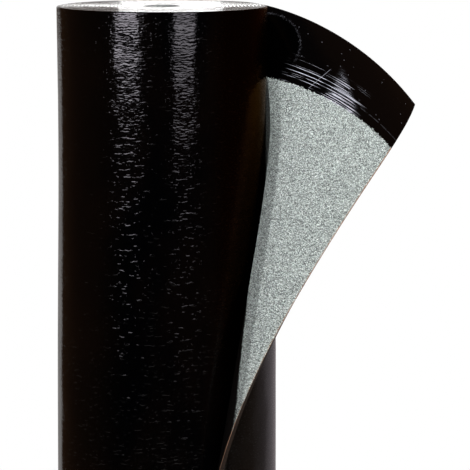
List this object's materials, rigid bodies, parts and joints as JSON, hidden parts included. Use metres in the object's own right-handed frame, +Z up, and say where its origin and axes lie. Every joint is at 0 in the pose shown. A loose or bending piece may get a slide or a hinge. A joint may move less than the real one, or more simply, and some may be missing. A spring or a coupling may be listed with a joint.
{
  "type": "roll of roofing felt",
  "caption": "Upright roll of mineral-faced bitumen roofing felt, black film outwards, its free top corner peeled back to show grey granules and a plain black lap edge.",
  "frame": {"origin": "centre of the bore at the bottom end of the roll", "axes": "+Z up along the roll's axis, -Y towards the front where the free edge lies, +X to the side that the corner peels towards"},
  "size_m": [0.3821, 0.2423, 1.0007],
  "materials": {
    "film": "glossy black burn-off film, finely wrinkled round the roll",
    "mineral": "matt grey-green slate granules pressed into bitumen",
    "selvage": "smooth glossy black film along the lap edge, creased and scratched lengthways",
    "bitumen": "satin black bitumen on the edges of the turns",
    "cut_edge": "dull brown-black knife-cut edge with the carrier showing"
  },
  "bodies": {
    "root": {"felt_roll": "film"}
  },
  "joints": []
}
